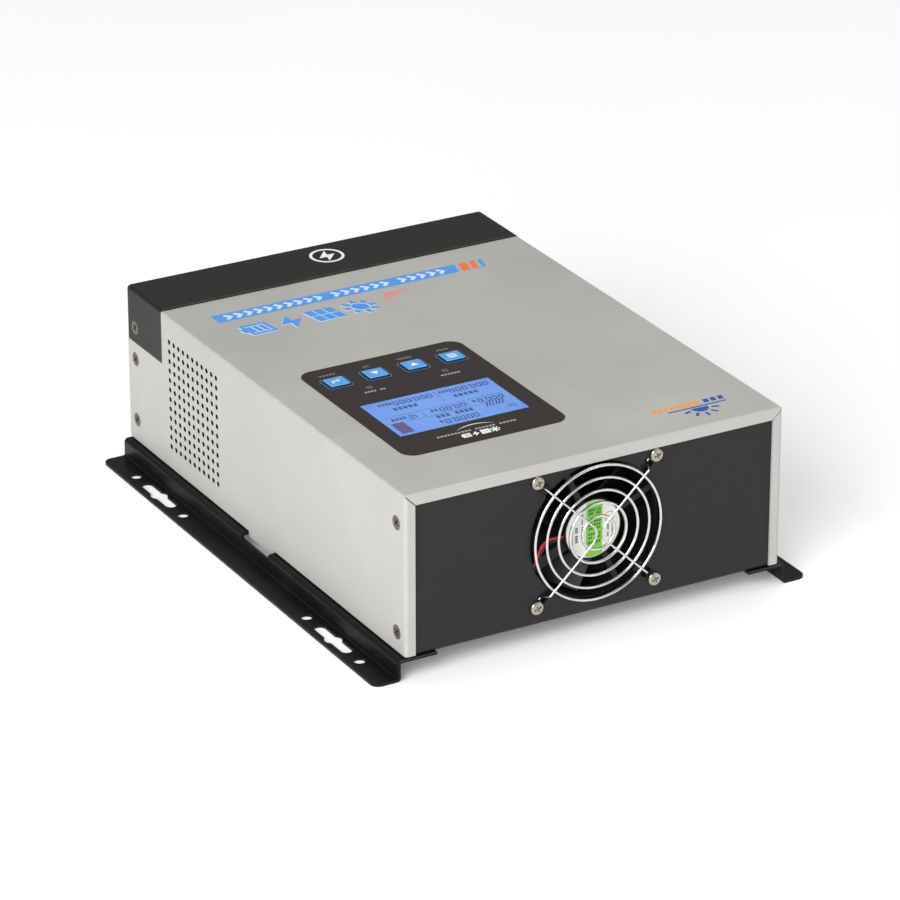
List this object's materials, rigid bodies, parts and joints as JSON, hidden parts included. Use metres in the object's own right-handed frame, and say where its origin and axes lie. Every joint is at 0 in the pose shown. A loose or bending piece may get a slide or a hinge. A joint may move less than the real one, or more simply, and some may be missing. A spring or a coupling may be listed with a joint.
{
  "type": "charge controller",
  "caption": "Wall-mounted solar charge controller: folded steel box on two keyhole feet, end fan with wire guard, display with keys, terminal bay under a separate cover.",
  "frame": {"origin": "middle of the wall bolt pattern, on the underside of the mounting feet", "axes": "+Z away from the wall, through the display; +Y along the box from the fan to the cable end; +X across it, to the right as the fan end is looked at"},
  "size_m": [0.264, 0.3293, 0.1053],
  "materials": {
    "cover_paint": "silver-grey powder coat, fine texture",
    "chassis_paint": "black powder coat, satin",
    "terminal_paint": "black powder coat, satin",
    "foot_paint": "black powder coat, satin",
    "dark_screw": "dark nickel plate",
    "bright_screw": "bright nickel plate",
    "steel_nut": "zinc plate",
    "fan_plastic": "glass-filled black moulding",
    "fan_label": "white label with a green band",
    "guard_wire": "nickel-plated wire",
    "bronze": "sintered bronze",
    "motor_core": "laminated core with enamelled coils",
    "red_insulation": "PVC insulation",
    "black_insulation": "PVC insulation",
    "white_nylon": "natural nylon",
    "overlay_film": "printed polyester film, satin",
    "clear_window": "clear hard-coated plate",
    "lcd_face": "blue backlit liquid-crystal face",
    "backlight": "white light guide",
    "bezel_metal": "blackened steel",
    "green_board": "solder-masked glass epoxy",
    "key_blue": "blue translucent cap",
    "black_moulding": "black moulding",
    "lamp_body": "smoked lamp body, unlit",
    "ribbon_grey": "grey flat cable",
    "insulation_film": "insulating film",
    "extrusion": "extruded, black anodised",
    "core_powder": "coated powder core",
    "enamelled_copper": "enamelled copper wire",
    "capacitor_sleeve": "shrink sleeve",
    "shunt_strip": "resistance strip",
    "fuse_body": "moulded fuse body",
    "terminal_moulding": "green flame-retardant moulding",
    "clamp_plate": "tin plate",
    "grommet_rubber": "soft black rubber"
  },
  "bodies": {
    "housing": {"base_tray": "chassis_paint", "battery_fuse": "fuse_body", "board_posts": "steel_nut", "board_screws": "steel_nut", "bracket_nuts": "steel_nut", "bracket_screws": "dark_screw", "cable_end_panel": "chassis_paint", "cable_grommets": "grommet_rubber", "comm_port": "black_moulding", "control_chips": "black_moulding", "cover_nuts": "steel_nut", "cover_screws": "dark_screw", "current_shunt": "shunt_strip", "display_board": "green_board", "display_overlay": "overlay_film", "display_posts": "steel_nut", "display_screws": "steel_nut", "fan_bearing": "bronze", "fan_connector": "white_nylon", "fan_frame": "fan_plastic", "fan_guard": "guard_wire", "fan_label": "fan_label", "fan_lead_black": "black_insulation", "fan_lead_red": "red_insulation", "fan_nuts": "steel_nut", "fan_screws": "bright_screw", "fan_stator": "motor_core", "ground_stud": "steel_nut", "inductor_cores": "core_powder", "inductor_windings": "enamelled_copper", "input_capacitors": "capacitor_sleeve", "insulation_sheet": "insulation_film", "key_switches": "black_moulding", "lcd_backlight": "backlight", "lcd_bezel": "bezel_metal", "lcd_glass": "lcd_face", "lcd_window": "clear_window", "left_heatsink": "extrusion", "left_mount_bracket": "foot_paint", "main_board": "green_board", "output_capacitors": "capacitor_sleeve", "power_transistors": "black_moulding", "ribbon_cable": "ribbon_grey", "ribbon_sockets": "white_nylon", "right_heatsink": "extrusion", "right_mount_bracket": "foot_paint", "seam_bracket": "chassis_paint", "status_leds": "lamp_body", "temp_sensor_socket": "black_moulding", "terminal_block": "terminal_moulding", "terminal_clamps": "clamp_plate", "terminal_cover": "terminal_paint", "terminal_screws": "clamp_plate", "top_cover": "cover_paint", "transistor_screws": "steel_nut"},
    "fan": {"fan_rotor": "fan_plastic"},
    "key_menu": {"key_menu": "key_blue"},
    "key_down": {"key_down": "key_blue"},
    "key_up": {"key_up": "key_blue"},
    "key_enter": {"key_enter": "key_blue"}
  },
  "joints": [
    {"name": "fan_spin", "type": "hinge", "parent": "housing", "child": "fan", "pos_m": [0, -0.1435, 0.0583], "axis": [0, 1, 0], "continuous": true},
    {"name": "menu_press", "type": "slide", "parent": "housing", "child": "key_menu", "axis": [0, 0, 1], "range_m": [-0.0006, 0], "stiffness_N_per_m": 3000},
    {"name": "down_press", "type": "slide", "parent": "housing", "child": "key_down", "axis": [0, 0, 1], "range_m": [-0.0006, 0], "stiffness_N_per_m": 3000},
    {"name": "up_press", "type": "slide", "parent": "housing", "child": "key_up", "axis": [0, 0, 1], "range_m": [-0.0006, 0], "stiffness_N_per_m": 3000},
    {"name": "enter_press", "type": "slide", "parent": "housing", "child": "key_enter", "axis": [0, 0, 1], "range_m": [-0.0006, 0], "stiffness_N_per_m": 3000}
  ]
}
